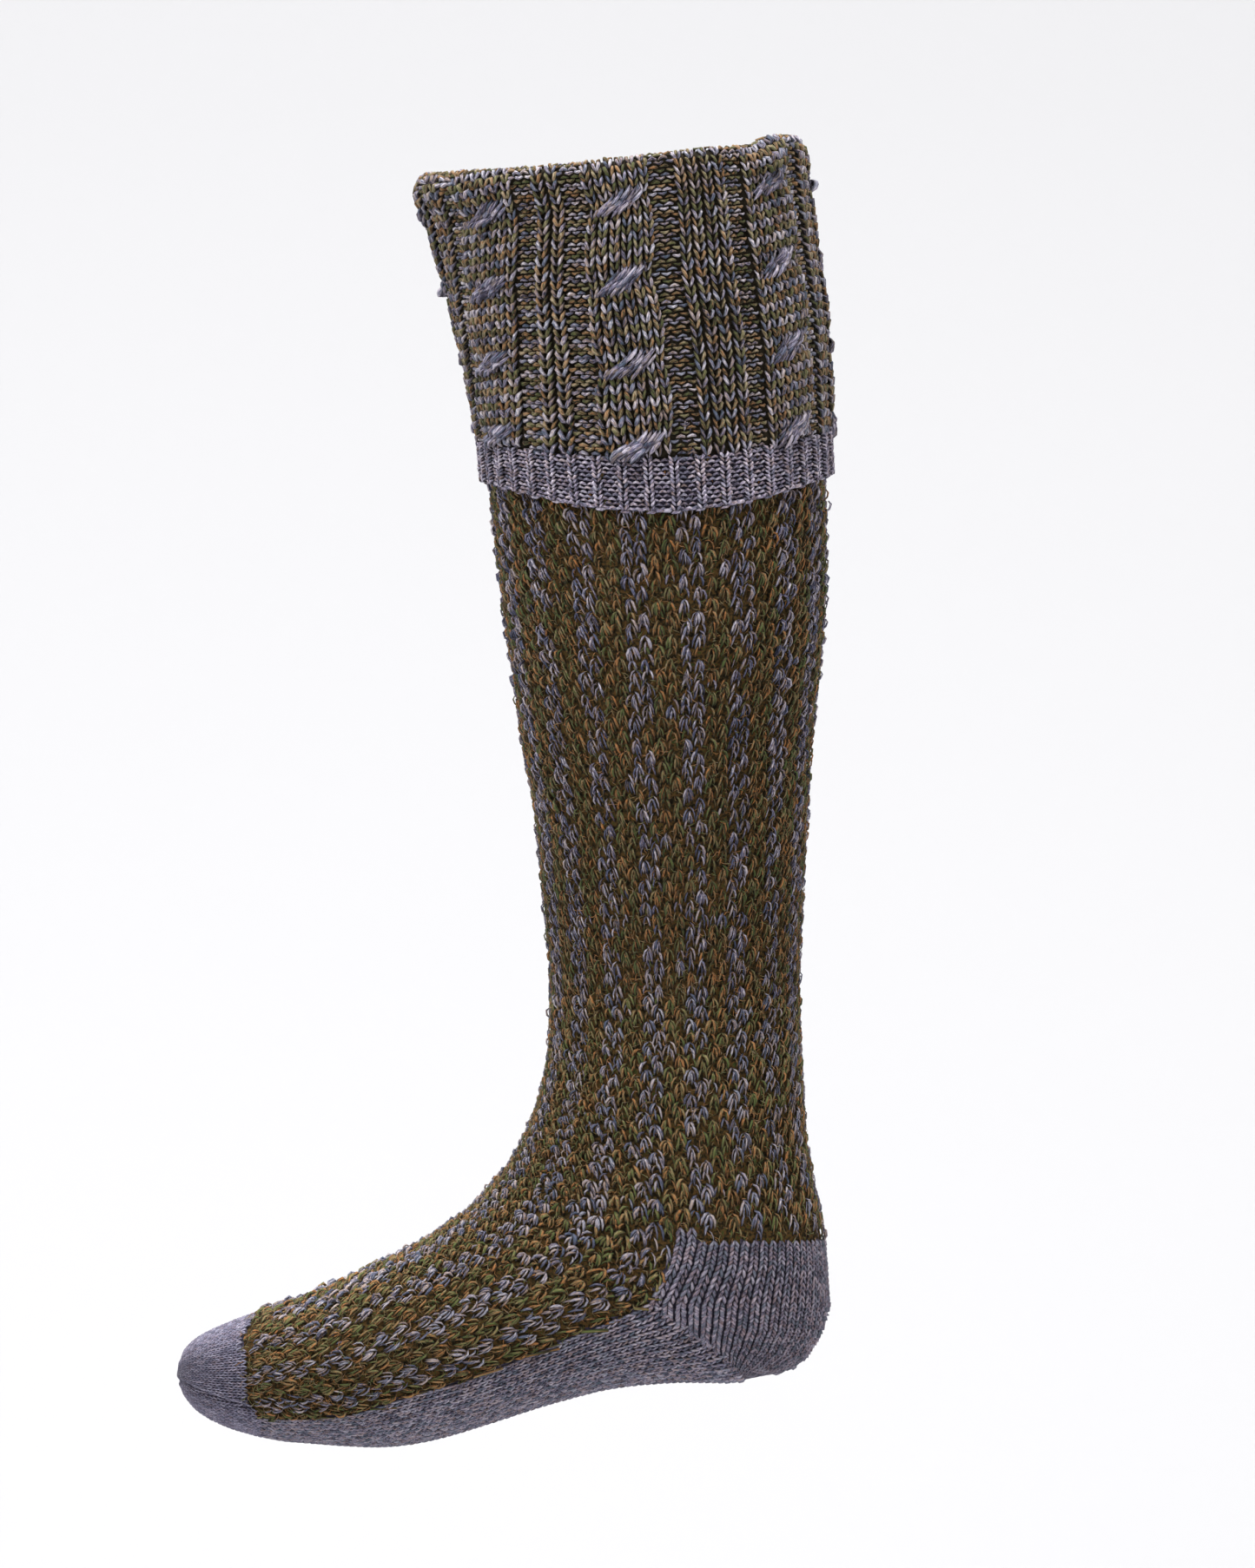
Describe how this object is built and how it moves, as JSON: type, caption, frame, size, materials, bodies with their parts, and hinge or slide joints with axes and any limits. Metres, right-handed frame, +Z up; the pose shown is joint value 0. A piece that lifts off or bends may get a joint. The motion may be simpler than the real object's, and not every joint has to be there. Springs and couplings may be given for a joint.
{
  "type": "knitted sock with turn-over cuff",
  "caption": "Knee-length knitted sock with a cabled turn-over cuff, rib border, flecked leg and plain heel, sole and toe.",
  "frame": {"origin": "centre of the mouth, where the cuff folds over and the leg goes in", "axes": "+Z up the leg, -X towards the toe, +X towards the heel, Y across the foot"},
  "size_m": [0.2661, 0.1485, 0.5351],
  "materials": {
    "flecked_knit": "olive wool knit with blue-grey columns",
    "blue_knit": "blue-grey marled wool knit",
    "cable_knit": "olive and blue-grey wool cable knit"
  },
  "bodies": {
    "root": {"leg": "flecked_knit", "instep": "flecked_knit", "heel": "blue_knit", "sole": "blue_knit", "toe": "blue_knit", "cuff": "cable_knit", "cuff_hem": "blue_knit"}
  },
  "joints": []
}
